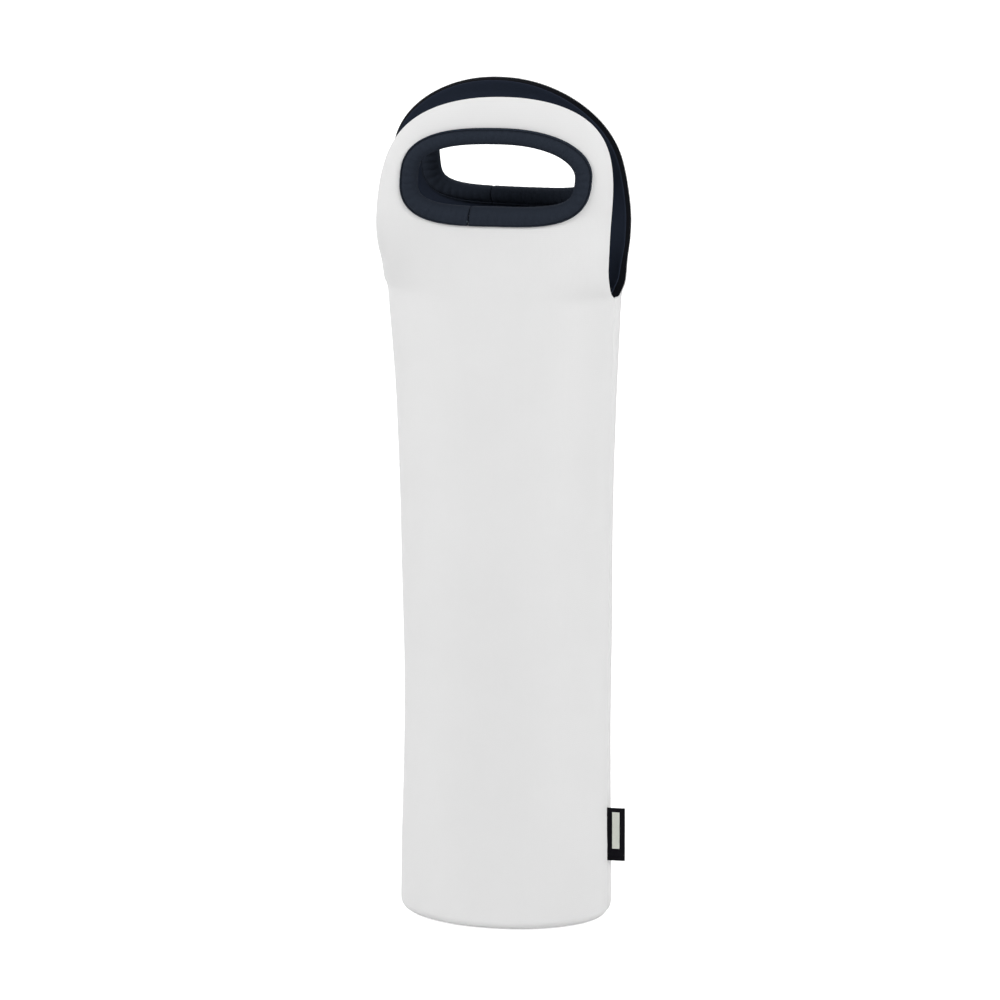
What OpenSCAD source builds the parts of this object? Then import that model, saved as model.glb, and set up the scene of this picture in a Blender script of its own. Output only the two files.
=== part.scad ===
// Single bottle carrier in laminated neoprene: an oval sleeve that stands on its base,
// slit at both sides near the top into two flaps, each with a bound oval hand hole.
// The front faces -Y. The origin is the middle of the base, on the floor.

/* [Sleeve] */
// Height of the flap tops above the floor
carrier_h = 378; // [330:1:420]
// Outer width at the foot
foot_w = 95; // [88:1:102]
// Outer width at the waist, the slimmest height
waist_w = 92; // [86:1:100]
// Outer width at the shoulder of the bottle
shoulder_w = 95.5; // [90:0.5:100]
// Outer width where the side seams end
mouth_w = 103.5; // [99:0.5:106]
// Outer depth, front to back, of the sleeve
body_d = 73; // [64:1:80]
// Outer depth where the side seams end
mouth_d = 58; // [54:1:66]
// Radius of the rolled lower edge
foot_roll = 4.5; // [4.5:0.5:7]

/* [Flaps] */
// Height of a flap, from the end of the side seams to its top
flap_h = 92; // [84:1:100]
// Outer width of a flap at its widest
flap_w = 108; // [103:1:110]
// Outer depth across the two flaps at the hand holes
grip_d = 50; // [46:1:56]
// Outer depth across the tops of the two flaps
top_d = 46; // [40:1:52]
// Width of the curve that a flap is bent to, as if it were a whole oval
flap_spread_w = 180; // [160:5:220]
// Height of the band at a flap's root that bends as the flap folds
bend_h = 12; // [11.5:0.5:16]

/* [Laminate] */
// Thickness of the outer jersey
cover_t = 0.5; // [0.4:0.1:0.8]
// Thickness of the neoprene foam
foam_t = 3.2; // [2.4:0.1:4]
// Thickness of the lining jersey
lining_t = 0.5; // [0.4:0.1:0.8]

/* [Hand hole] */
// Clear width of the hand hole inside its binding
hole_w = 71.5; // [64:0.5:73]
// Clear height of the hand hole inside its binding
hole_h = 28; // [24:1:31]
// Height from the middle of the hand hole up to the top of its flap
hole_drop = 36; // [34:1:38]
// Width of the padded binding seen on a face of the flap
binding_w = 7.6; // [6:0.2:8]
// How far the binding's bead stands in from the cut edge
bead_w = 2.6; // [2:0.1:3]
// Thickness of the padded binding strip
binding_t = 1.8; // [1.2:0.1:2]

/* [Seams] */
// How far the bound seam allowances stand into the sleeve
seam_fin_w = 5; // [4:0.5:6]
// Thickness of the bound seam allowances
seam_fin_t = 5; // [4:0.5:6]

/* [Label] */
// How far the folded label stands out of the side seam
label_w = 7.5; // [6:0.5:9]
// Height of the label
label_h = 24.5; // [20:0.5:28]
// Height of the label's lower edge above the floor
label_z = 25.5; // [20:0.5:32]
// Thickness of one ply of the label ribbon
ribbon_t = 0.3; // [0.25:0.05:0.4]
// Space between the two plies of the folded label
fold_gap = 0.3; // [0.25:0.05:0.4]

/* [Hidden] */
$fn = 48;

// Height where the side seams end and the flaps part, and that of the hand holes
slit_h = carrier_h - flap_h;
hole_z = carrier_h - hole_drop;

// Heights at which the sleeve's shape is set, as shares of the slit's height
waist_share = 0.36;
shoulder_share = 0.68;
flare_share = 0.86;
// Width at the flare, as a share of the way from the shoulder to the mouth
flare_w_share = 0.4;
shoulder_d_share = 0.6;
waist_h = waist_share * slit_h;
shoulder_h = shoulder_share * slit_h;
flare_h = flare_share * slit_h;

// How far up a flap its spread curve is reached, as a share of the flap
spread_share = 0.42;
// Powers of the oval section and of the flap's outline
section_power = 2.3;
outline_side_power = 2.0;
outline_top_power = 4.8;
// Height up a flap at which its widest part starts, as a share of the flap
bulge_share = 0.4;
// Span over which the widths and depths are rounded off
soften_span = 0.11 * slit_h;
soften_steps = 4;

wall_t = cover_t + foam_t + lining_t;
// Powers of the hand hole's outline, over its arched top and along its flatter foot
hole_top_power = 2.5;
hole_foot_power = 3.3;
cut_hole_w = hole_w + 2 * bead_w;
cut_hole_h = hole_h + 2 * bead_w;
binding_wing = binding_w - bead_w;
// Sewn pieces lie this far off what they are sewn to
seat_gap = 0.3;
// Room between the cut edge of the laminate and the fold of the binding
binding_root = 1;
// Space between the two butted ends of a binding strip
butt_gap = 0.3;
// Where those ends meet, left of the middle of the hand hole
butt_x = -12;
// Cuts run past the faces that they cut
overrun = 1;

columns = 20;
roll_rows = 3;
flap_rows = 8;
hole_sides = 40;
binding_rings = 44;
turn_full = 360;
quarter = 90;
// The panels' edges stop short of the seam line, which leaves the slit its blunt end
slit_angle = 86;
// Height of the upright side edges of a flap, next to the band that bends
flap_side_h = 4;
// The bend's rows crowd towards the slit, where its edges turn up fastest
bend_row_shares = [0, 0.08, 0.25, 0.55, 1];

cover_grey = [0.88, 0.88, 0.88];
foam_black = [0.09, 0.09, 0.1];
lining_navy = [0.10, 0.12, 0.19];
binding_navy = [0.13, 0.16, 0.24];
ribbon_black = [0.07, 0.07, 0.08];

// Half widths and half depths against height, before they are rounded off
half_widths = [
    [0, foot_w / 2],
    [waist_h, waist_w / 2],
    [shoulder_h, shoulder_w / 2],
    [flare_h, (shoulder_w + flare_w_share * (mouth_w - shoulder_w)) / 2],
    [slit_h, mouth_w / 2],
    [slit_h + spread_share * flap_h, flap_spread_w / 2],
    [carrier_h, flap_spread_w / 2]
];
half_depths = [
    [0, body_d / 2],
    [shoulder_d_share * slit_h, body_d / 2],
    [slit_h, mouth_d / 2],
    [slit_h + spread_share * flap_h, grip_d / 2],
    [hole_z, grip_d / 2],
    [carrier_h, top_d / 2]
];

function mix(a, b, t) = a + (b - a) * t;
function total(list) = [for (i = list) 1] * list;
function power(value, exponent) = pow(max(0, abs(value)), exponent);

// A table read with its corners rounded off over a span of height
function softened(z, table, span) =
    total([for (k = [-soften_steps:soften_steps])
        lookup(z + k * span / (2 * soften_steps), table)]) / (2 * soften_steps + 1);

// The width is read straight near the slit, where the sleeve and the flaps share a section
function oval_half_w(z) = softened(z, half_widths,
    min(soften_span, 2 * abs(z - slit_h)));
function oval_half_d(z) = softened(z, half_depths, soften_span);

// A point of the outer face of the front half, from its x and its height
function face_y(x, z) =
    -oval_half_d(z) * power(1 - power(x / oval_half_w(z), section_power), 1 / section_power);
function face_normal(x, z) =
    let (
        a = oval_half_w(z),
        b = oval_half_d(z),
        gx = sign(x) * power(x / a, section_power - 1) / a,
        gy = -power(face_y(x, z) / b, section_power - 1) / b
    )
    [gx, gy, 0] / norm([gx, gy]);

// The same face with a point set some way in from it
function face_point(x, z, depth) = [x, face_y(x, z), z] - depth * face_normal(x, z);

// x of the section at an angle from the middle of the front
function section_x(angle, z) =
    oval_half_w(z) * sign(angle) * power(sin(angle), 2 / section_power);

// The wall down to the base: above the roll it is upright, and the roll turns it under
function roll_centre(angle) =
    face_point(section_x(angle, foot_roll), foot_roll, foot_roll);
function roll_point(angle, turn, depth) =
    roll_centre(angle)
    + (foot_roll - depth) * (cos(turn) * face_normal(section_x(angle, foot_roll), foot_roll)
        - sin(turn) * [0, 0, 1]);

wall_heights = [
    for (share = [0.17, 0.36, 0.52, 0.66, 0.77, 0.86, 0.94, 1]) share * slit_h
];
section_angles = [for (k = [0:columns]) quarter * (2 * k / columns - 1)];

function wall_grid(depth) = concat(
    [for (row = [0:roll_rows])
        [for (angle = section_angles)
            roll_point(angle, quarter * (1 - row / roll_rows), depth)]],
    [for (z = wall_heights)
        [for (angle = section_angles) face_point(section_x(angle, z), z, depth)]]
);

// Outline of a flap in front view, from the slit's end over the top
function outline_z(angle) = slit_h + flap_h * cos(angle);
function outline_x(angle) =
    let (rise = min(1, cos(angle) / bulge_share))
    mix(mouth_w, flap_w, sin(quarter * rise)) / 2 * sign(angle)
    * power(1 - power(cos(angle), outline_top_power), 1 / outline_side_power);

function edge_x(z) = z == slit_h ? section_x(slit_angle, slit_h)
    : outline_x(acos((z - slit_h) / flap_h));

// A level row across a flap's root, whose points line up with those of the wall
function root_row(z, depth) = [
    for (angle = section_angles)
        face_point(edge_x(z) * section_x(max(-slit_angle, min(slit_angle, angle)), slit_h)
            / section_x(slit_angle, slit_h), z, depth)
];
bend_top = slit_h + bend_h;
function bend_grid(depth) = [
    for (share = bend_row_shares) root_row(mix(slit_h, bend_top, share), depth)
];

side_angle = acos((bend_h + flap_side_h) / flap_h);
function flap_row(share, depth) =
    let (root = root_row(bend_top, 0))
    [for (k = [0:columns])
        let (angle = section_angles[k] * side_angle / quarter)
        face_point(mix(root[k][0], outline_x(angle), share),
            mix(bend_top, outline_z(angle), share), depth)];
function flap_grid(depth) = [
    for (row = [0:flap_rows])
        row == 0 ? root_row(bend_top, depth) : flap_row(row / flap_rows, depth)
];

// Faces of a closed sheet between an outer and an inner grid of points
function joined(rows) = [for (row = rows) each row];
function grid_faces(rows, cols, first, outward) = [
    for (i = [0:rows - 2]) for (j = [0:cols - 2])
        let (a = first + i * cols + j, b = a + 1, c = a + cols + 1, d = a + cols)
        each outward ? [[a, c, b], [a, d, c]] : [[a, b, c], [a, c, d]]
];
function grid_rim(rows, cols) = concat(
    [for (j = [0:cols - 1]) j],
    [for (i = [1:rows - 1]) i * cols + cols - 1],
    [for (j = [cols - 2:-1:0]) (rows - 1) * cols + j],
    [for (i = [rows - 2:-1:1]) i * cols]
);
function rim_faces(rim, shift) = [
    for (k = [0:len(rim) - 1])
        let (a = rim[k], b = rim[(k + 1) % len(rim)])
        each [[a, b, b + shift], [a, b + shift, a + shift]]
];

module sheet(outer, inner) {
    rows = len(outer);
    cols = len(outer[0]);
    polyhedron(
        points = concat(joined(outer), joined(inner)),
        faces = concat(
            grid_faces(rows, cols, 0, true),
            grid_faces(rows, cols, rows * cols, false),
            rim_faces(grid_rim(rows, cols), rows * cols)
        )
    );
}

// A closed strip swept through rings that all have the same number of points
module swept(rings) {
    count = len(rings);
    sides = len(rings[0]);
    polyhedron(
        points = joined(rings),
        faces = concat(
            [for (i = [0:count - 2]) for (j = [0:sides - 1])
                let (a = i * sides + j, b = i * sides + (j + 1) % sides)
                each [[a, b, b + sides], [a, b + sides, a + sides]]],
            cap_faces(rings[0], 0, false),
            cap_faces(rings[0], (count - 1) * sides, true)
        )
    );
}

// The end of a C section, as a band of quads between its outer and inner runs
function cap_faces(ring, first, flipped) =
    let (half = len(ring) / 2)
    [for (k = [0:half - 2])
        let (a = first + k, b = a + 1, d = first + len(ring) - 1 - k, c = d - 1)
        each flipped ? [[a, b, c], [a, c, d]] : [[a, c, b], [a, d, c]]];

// The back is the front turned over, so that its faces still point outwards
module front_or_back(back) {
    if (back) mirror([0, 1, 0]) children();
    else children();
}

module wall_layer(outer_depth, inner_depth, back) {
    front_or_back(back) sheet(wall_grid(outer_depth), wall_grid(inner_depth));
}

module bend_layer(outer_depth, inner_depth, back) {
    front_or_back(back)
        sheet(bend_grid(outer_depth), bend_grid(inner_depth));
}

// Half the width and height of the cut hand hole, and its outline at a turn from the right
hole_a = cut_hole_w / 2;
hole_b = cut_hole_h / 2;
function hole_power(turn) = sin(turn) > 0 ? hole_top_power : hole_foot_power;
function hole_edge(turn) =
    let (n = hole_power(turn))
    [hole_a * sign(cos(turn)) * power(cos(turn), 2 / n),
        hole_b * sign(sin(turn)) * power(sin(turn), 2 / n)];
// The way out of the hole, square to its edge
function hole_out(turn) =
    let (
        edge = hole_edge(turn),
        n = hole_power(turn),
        way = [sign(edge[0]) * power(edge[0] / hole_a, n - 1) / hole_a,
            sign(edge[1]) * power(edge[1] / hole_b, n - 1) / hole_b]
    )
    way / norm(way);

// Runs through the flap along Y, and cuts the hand hole in its three layers
module hole_cutter() {
    translate([0, 0, hole_z]) rotate([quarter, 0, 0])
        linear_extrude(height = body_d / 2 + overrun)
            polygon([for (k = [0:hole_sides - 1]) hole_edge(turn_full * k / hole_sides)]);
}

module flap_layer(outer_depth, inner_depth, back) {
    front_or_back(back)
        difference() {
            sheet(flap_grid(outer_depth), flap_grid(inner_depth));
            hole_cutter();
        }
}

// The binding's C section as [distance out of the hole, distance in from the face]:
// first its outer run from wing tip to wing tip, then the groove that holds the edge
wing_tip_t = binding_t / 3;
wing_mid_share = 0.55;
bead_t_share = 0.3;
bead_side_share = 0.7;
outer_seat = -seat_gap;
inner_seat = wall_t + seat_gap;
binding_section = [
    [binding_wing, outer_seat - wing_tip_t],
    [wing_mid_share * binding_wing, outer_seat - binding_t],
    [0, outer_seat - binding_t],
    [-bead_side_share * bead_w, outer_seat - bead_t_share * binding_t],
    [-bead_w, bead_t_share * wall_t],
    [-bead_w, (1 - bead_t_share) * wall_t],
    [-bead_side_share * bead_w, inner_seat + bead_t_share * binding_t],
    [0, inner_seat + binding_t],
    [wing_mid_share * binding_wing, inner_seat + binding_t],
    [binding_wing, inner_seat + wing_tip_t],
    [binding_wing, inner_seat],
    [wing_mid_share * binding_wing, inner_seat],
    [0, inner_seat],
    [-binding_root, inner_seat],
    [-binding_root, (1 - bead_t_share) * wall_t],
    [-binding_root, bead_t_share * wall_t],
    [-binding_root, outer_seat],
    [0, outer_seat],
    [wing_mid_share * binding_wing, outer_seat],
    [binding_wing, outer_seat]
];

function binding_ring(turn) =
    let (edge = hole_edge(turn), out = hole_out(turn))
    [for (p = binding_section)
        face_point(edge[0] + p[0] * out[0], hole_z + edge[1] + p[0] * out[1], p[1])];

// The turn at which the hole's lower edge lies at a given x, from the left
function foot_turn(x) = -acos(sign(x) * power(x / hole_a, hole_foot_power / 2));

module hole_binding(back) {
    start = foot_turn(butt_x + butt_gap / 2);
    end = foot_turn(butt_x - butt_gap / 2) + turn_full;
    color(binding_navy) front_or_back(back)
        swept([for (k = [0:binding_rings])
            binding_ring(mix(start, end, k / binding_rings))]);
}

// The base is an oval plate that meets the rolled edge of the walls
function base_outline(inset) = [
    for (half = [0, 1]) for (k = [0:columns - 1])
        let (
            angle = section_angles[k],
            place = roll_centre(angle) - inset * face_normal(section_x(angle, foot_roll), foot_roll)
        )
        half == 0 ? [place[0], place[1]] : [-place[0], -place[1]]
];

module base_layer(low, high) {
    translate([0, 0, low]) linear_extrude(height = high - low)
        polygon(base_outline(0));
}

module base_seam_binding() {
    color(binding_navy)
        translate([0, 0, wall_t]) linear_extrude(height = seam_fin_w)
            difference() {
                polygon(base_outline(0));
                polygon(base_outline(seam_fin_t));
            }
}

// A bound seam allowance that stands in from the wall along a side seam
module side_seam_binding(side) {
    low = wall_t + seam_fin_w + seat_gap;
    heights = concat(low, wall_heights);
    function inner_x(z) = oval_half_w(z) - wall_t - seat_gap;
    color(binding_navy) mirror([side < 0 ? 1 : 0, 0, 0])
        sheet(
            [for (z = heights) [for (y = [-1, 1]) [inner_x(z), y * seam_fin_t / 2, z]]],
            [for (z = heights)
                [for (y = [-1, 1]) [inner_x(z) - seam_fin_w, y * seam_fin_t / 2, z]]]
        );
}

// The label is a ribbon folded in two, with its open ends in the right side seam
label_root_x = oval_half_w(label_z + label_h / 2) + seat_gap;
label_t = 2 * ribbon_t + fold_gap;

module label_plan(thickness, length) {
    translate([0, -thickness / 2]) square([length - thickness / 2, thickness]);
    translate([length - thickness / 2, 0]) circle(d = thickness);
}

module side_label() {
    color(ribbon_black)
        translate([label_root_x, 0, label_z]) linear_extrude(height = label_h)
            difference() {
                label_plan(label_t, label_w);
                translate([-overrun, 0])
                    label_plan(fold_gap, label_w - ribbon_t + overrun);
            }
}

cover_in = cover_t;
foam_in = cover_t + foam_t;

module cover_wall(back) { color(cover_grey) wall_layer(0, cover_in, back); }
module foam_wall(back) { color(foam_black) wall_layer(cover_in, foam_in, back); }
module lining_wall(back) { color(lining_navy) wall_layer(foam_in, wall_t, back); }
module cover_bend(back) { color(cover_grey) bend_layer(0, cover_in, back); }
module foam_bend(back) { color(foam_black) bend_layer(cover_in, foam_in, back); }
module lining_bend(back) { color(lining_navy) bend_layer(foam_in, wall_t, back); }
module cover_flap(back) { color(cover_grey) flap_layer(0, cover_in, back); }
module foam_flap(back) { color(foam_black) flap_layer(cover_in, foam_in, back); }
module lining_flap(back) { color(lining_navy) flap_layer(foam_in, wall_t, back); }

cover_wall(false);  // front_cover
foam_wall(false);  // front_foam
lining_wall(false);  // front_lining
cover_wall(true);  // back_cover
foam_wall(true);  // back_foam
lining_wall(true);  // back_lining
color(cover_grey) base_layer(0, cover_in);  // base_cover
color(foam_black) base_layer(cover_in, foam_in);  // base_foam
color(lining_navy) base_layer(foam_in, wall_t);  // base_lining
side_seam_binding(-1);  // left_seam_binding
side_seam_binding(1);  // right_seam_binding
base_seam_binding();
cover_bend(false);  // front_bend_cover
foam_bend(false);  // front_bend_foam
lining_bend(false);  // front_bend_lining
cover_bend(true);  // back_bend_cover
foam_bend(true);  // back_bend_foam
lining_bend(true);  // back_bend_lining
cover_flap(false);  // front_flap_cover
foam_flap(false);  // front_flap_foam
lining_flap(false);  // front_flap_lining
hole_binding(false);  // front_hole_binding
cover_flap(true);  // back_flap_cover
foam_flap(true);  // back_flap_foam
lining_flap(true);  // back_flap_lining
hole_binding(true);  // back_hole_binding
side_label();
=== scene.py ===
"""One bottle carrier in laminated neoprene, dressed over its CAD frame.

Two panels of jersey faced neoprene are sewn together along both sides and round an oval base.
Above the slits each panel is a flap, with a hand hole that a padded strip binds. Lengths are in
millimetres until a mesh is written in metres. The front faces -Y.
"""

import logging
import math
from collections.abc import Callable
from dataclasses import dataclass
from enum import Enum
from functools import lru_cache
from itertools import accumulate

import bmesh
import bpy
import numpy as np
from bmesh.types import BMesh
from bpy.types import Material, Node, NodeSocket, NodeTree, Object, Scene
from mathutils import Matrix, Vector, noise


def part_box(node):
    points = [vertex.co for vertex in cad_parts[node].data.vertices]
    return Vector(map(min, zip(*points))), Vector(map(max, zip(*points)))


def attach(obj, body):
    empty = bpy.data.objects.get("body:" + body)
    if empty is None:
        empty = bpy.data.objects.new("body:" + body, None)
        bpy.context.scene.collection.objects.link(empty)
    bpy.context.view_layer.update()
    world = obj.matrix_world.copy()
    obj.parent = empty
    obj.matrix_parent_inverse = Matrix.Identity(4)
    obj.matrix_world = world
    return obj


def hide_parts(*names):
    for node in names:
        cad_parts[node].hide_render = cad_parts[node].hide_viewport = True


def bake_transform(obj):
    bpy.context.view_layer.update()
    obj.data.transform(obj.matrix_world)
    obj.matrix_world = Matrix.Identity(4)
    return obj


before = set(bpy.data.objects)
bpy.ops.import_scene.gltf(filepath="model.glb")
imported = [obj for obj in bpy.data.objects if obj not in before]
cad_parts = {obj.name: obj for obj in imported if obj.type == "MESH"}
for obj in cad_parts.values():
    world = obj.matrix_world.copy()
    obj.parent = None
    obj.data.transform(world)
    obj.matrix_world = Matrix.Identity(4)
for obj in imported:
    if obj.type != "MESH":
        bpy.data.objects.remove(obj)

MM = 0.001
QUARTER = math.pi / 2
UP = Vector((0.0, 0.0, 1.0))
CLOTH_UV = "cloth_mm"
WHITE = (1.0, 1.0, 1.0, 1.0)
RIM_ANGLE = math.radians(50)
log = logging.getLogger("bottle_carrier")


class Side(Enum):
    """One of the two panels, which are each other's mirror image in Y."""

    FRONT = "front"
    BACK = "back"

    @property
    def flap(self) -> str:
        """The body that this side's flap is."""
        return f"{self.value}_flap"

    @property
    def facing(self) -> Vector:
        """Factors that turn a place on the front into one on this side."""
        return Vector((1.0, 1.0 if self is Side.FRONT else -1.0, 1.0))


def smooth_step(value: float) -> float:
    """Ease from 0 to 1 as value goes from 0 to 1."""
    share = min(1.0, max(0.0, value))
    return share * share * (3.0 - 2.0 * share)


def mix(start: float, end: float, share: float) -> float:
    """Go from start to end by a share."""
    return start + (end - start) * share


def box_mm(node: str) -> tuple[Vector, Vector]:
    """The lowest and highest corners of a CAD node, in millimetres."""
    low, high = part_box(node)
    return Vector(low) / MM, Vector(high) / MM


@dataclass(frozen=True)
class Hang:
    """How a flap hangs out of true, in degrees and millimetres."""

    roll: float
    twist: float
    slant: float
    push: float
    lift: float
    spread: float
    taper: float
    peak: float


HANGS = {
    Side.FRONT: Hang(
        roll=-1.0, twist=4.5, slant=4.6,
        push=0.8, lift=-0.4, spread=-0.008, taper=0.022, peak=0.0,
    ),
    Side.BACK: Hang(
        roll=-1.6, twist=4.0, slant=-5.2,
        push=-2.8, lift=0.2, spread=0.03, taper=-0.015, peak=-0.16,
    ),
}


@dataclass(eq=False)
class SleeveForm:
    """The curved shape that the panels take, with the sizes that the frame doesn't give.

    A place on a panel is an angle share, from -1 at its left edge over 0 in its middle to 1 at
    its right edge, and a height. Below the top of the rolled foot, the height runs on round
    the roll.
    """

    slit_h: float
    carrier_h: float
    bend_top: float
    body_d: float
    wall_t: float
    foot_w: float = 95.0
    waist_w: float = 92.0
    shoulder_w: float = 95.5
    mouth_w: float = 105.0
    mouth_d: float = 58.0
    foot_roll: float = 4.5
    flap_w: float = 108.0
    grip_d: float = 50.0
    top_d: float = 43.0
    flap_spread_w: float = 180.0
    hole_drop: float = 36.0
    section_power: float = 2.3
    outline_side_power: float = 2.1
    outline_top_power: float = 5.7
    bulge_share: float = 0.4
    waist_share: float = 0.36
    shoulder_share: float = 0.68
    flare_share: float = 0.86
    flare_w_share: float = 0.4
    shoulder_d_share: float = 0.6
    spread_share: float = 0.42
    soften_share: float = 0.11
    soften_steps: int = 4
    slit_soften: float = 3.0
    slit_open: float = 4.0
    slit_ease: float = 1.6
    seam_dip: float = 1.2
    seam_lip: float = 3.4
    seam_drift: float = 5.0
    seam_reach: float = 11.0
    slit_fade: float = 8.0
    foot_dip: float = 1.2
    curl_in: float = 3.2
    curl_w: float = 14.0
    curl_rise: float = 17.0
    sway_waist: float = 1.0
    sway_mouth: float = -0.7
    corner_draw: float = 1.5
    corner_rise: float = 40.0
    wave_h: float = 0.45
    wave_length: float = 70.0
    girth_steps: int = 48

    @classmethod
    def from_frame(cls) -> "SleeveForm":
        """Take the main sizes from the CAD nodes.

        Returns:
            The form, with the slit, flap and depth sizes of the frame.
        """
        cover_low, cover_high = box_mm("front_cover")
        _, flap_high = box_mm("front_flap_cover")
        _, bend_high = box_mm("front_bend_cover")
        _, base_high = box_mm("base_lining")
        return cls(
            slit_h=cover_high.z,
            carrier_h=flap_high.z,
            bend_top=bend_high.z,
            body_d=-2.0 * cover_low.y,
            wall_t=base_high.z,
        )

    @property
    def flap_h(self) -> float:
        """Height of a flap above the slit's end."""
        return self.carrier_h - self.slit_h

    @property
    def hole_z(self) -> float:
        """Height of the middle of the hand holes."""
        return self.carrier_h - self.hole_drop

    @property
    def foot_end(self) -> float:
        """Where a panel ends under the roll, as a height that runs on round it."""
        return self.foot_roll * (1.0 - QUARTER)

    def softened(self, z: float, table: list[tuple[float, float]], span: float) -> float:
        """Read a table of size against height, with its corners rounded off.

        Args:
            z: Height to read at.
            table: Pairs of height and size.
            span: Height over which the corners are rounded.

        Returns:
            The size at that height.
        """
        steps = range(-self.soften_steps, self.soften_steps + 1)
        at = [z + k * span / (2 * self.soften_steps) for k in steps]
        return float(np.mean(np.interp(at, *zip(*table))))

    @lru_cache(maxsize=None)
    def oval(self, z: float) -> tuple[float, float]:
        """Half the width and half the depth of the sleeve's section at a height.

        Args:
            z: Height above the floor.

        Returns:
            Half width and half depth.
        """
        flare_w = mix(self.shoulder_w, self.mouth_w, self.flare_w_share)
        spread_z = self.slit_h + self.spread_share * self.flap_h
        widths = [
            (0.0, self.foot_w / 2),
            (self.waist_share * self.slit_h, self.waist_w / 2),
            (self.shoulder_share * self.slit_h, self.shoulder_w / 2),
            (self.flare_share * self.slit_h, flare_w / 2),
            (self.slit_h, self.mouth_w / 2),
            (self.slit_h + self.slit_open, self.mouth_w / 2 + self.slit_ease),
            (spread_z, self.flap_spread_w / 2),
        ]
        depths = [
            (self.shoulder_d_share * self.slit_h, self.body_d / 2),
            (self.slit_h, self.mouth_d / 2),
            (spread_z, self.grip_d / 2),
            (self.hole_z, self.grip_d / 2),
            (self.carrier_h, self.top_d / 2),
        ]
        span = self.soften_share * self.slit_h
        width_span = max(self.slit_soften, min(span, 2 * abs(z - self.slit_h)))
        return self.softened(z, widths, width_span), self.softened(z, depths, span)

    def share_at(self, x: float, z: float) -> float:
        """The angle share of a point that is given by its x and its height."""
        ratio = min(1.0, abs(x) / self.oval(z)[0])
        return math.copysign(math.asin(ratio ** (self.section_power / 2)) / QUARTER, x)

    def x_at(self, share: float, z: float) -> float:
        """The x of a point that is given by its angle share and its height."""
        across = math.sin(abs(share) * QUARTER) ** (2.0 / self.section_power)
        return math.copysign(self.oval(z)[0] * across, share)

    def half_at(self, y: float, z: float) -> float:
        """Half the width of the sleeve's section at a depth and a height.

        Args:
            y: How far in front of or behind the middle plane the place lies.
            z: Height above the floor.

        Returns:
            Half the width there.
        """
        half_w, half_d = self.oval(z)
        ratio = min(1.0, abs(y) / half_d)
        return half_w * (1.0 - ratio**self.section_power) ** (1.0 / self.section_power)

    def outline_x(self, z: float) -> float:
        """Half the width of a flap's outline at a height, which starts from the closed seam.

        Args:
            z: Height above the floor.

        Returns:
            Half the width there.
        """
        rise = max(0.0, (z - self.slit_h) / self.flap_h)
        closed = 1.0 - smooth_step((z - self.slit_h) / self.slit_open)
        closed *= self.oval(self.slit_h)[0] - self.mouth_w / 2
        widest = math.sin(QUARTER * min(1.0, rise / self.bulge_share))
        side = max(0.0, 1.0 - rise**self.outline_top_power) ** (1.0 / self.outline_side_power)
        return mix(self.mouth_w, self.flap_w, widest) / 2 * side + closed

    def outline_z(self, x: float) -> float:
        """Height of a flap's outline above a given x.

        Args:
            x: How far to the right of the middle the point lies.

        Returns:
            Height above the floor.
        """
        side = min(1.0, 2.0 * abs(x) / self.flap_w)
        rise = (1.0 - side**self.outline_side_power) ** (1.0 / self.outline_top_power)
        return self.slit_h + self.flap_h * rise

    def rim_distance(self, x: float, z: float) -> float:
        """About how far a point of a flap lies from its cut edge.

        Args:
            x: How far to the right of the middle the point lies.
            z: Height above the floor.

        Returns:
            The distance, never zero.
        """
        aside = max(1e-6, self.outline_x(z) - abs(x))
        above = max(1e-6, self.outline_z(x) - z)
        return aside * above / math.hypot(aside, above)

    def curl(self, x: float, z: float) -> float:
        """How far a flap's rim has curled in towards the other flap at a point."""
        near = max(0.0, 1.0 - self.rim_distance(x, z) / self.curl_w)
        return self.curl_in * near * near * smooth_step((z - self.slit_h) / self.curl_rise)

    def wave(self, share: float, z: float, side: Side) -> float:
        """Slow unevenness of the stretched laminate, which dies out at the foot.

        Args:
            share: Angle share across the panel.
            z: Height above the floor.
            side: The panel that the point belongs to.

        Returns:
            How far in the face lies.
        """
        seed = 3.0 if side is Side.FRONT else 11.0
        place = Vector((1.6 * share, z / self.wave_length, seed))
        return self.wave_h * noise.noise(place) * smooth_step(z / self.wave_length)

    @lru_cache(maxsize=None)
    def sway(self, z: float) -> float:
        """How far the empty sleeve stands to the right of its middle line at a height.

        Args:
            z: Height above the floor.

        Returns:
            The distance, less than zero to the left.
        """
        table = [
            (0.0, 0.0),
            (0.42 * self.slit_h, self.sway_waist),
            (self.flare_share * self.slit_h, 0.1 * self.sway_waist),
            (self.slit_h, self.sway_mouth),
        ]
        return self.softened(z, table, self.soften_share * self.slit_h)

    @lru_cache(maxsize=None)
    def drift(self, y: float, z: float) -> float:
        """How far forward a point next to the right seam has slid along the section.

        Args:
            y: How far behind the sleeve's middle plane the point lies.
            z: Its height.

        Returns:
            The distance, which is most at the slit's end, where the empty sleeve twists.
        """
        start, top = 0.6 * self.slit_h, self.slit_h + 2.5 * self.slit_open
        along = smooth_step((z - start) / (self.slit_h - start))
        along *= 1.0 - smooth_step((z - top) / self.curl_rise)
        return self.seam_drift * along * math.exp(-((y / self.seam_reach) ** 2))

    def foot_round(self, share: float, height: float) -> float:
        """How much further in than the section the foot's four corners are drawn."""
        corner = math.sin(2.0 * QUARTER * abs(share)) ** 2
        return self.corner_draw * corner * (1.0 - smooth_step(height / self.corner_rise))

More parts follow.
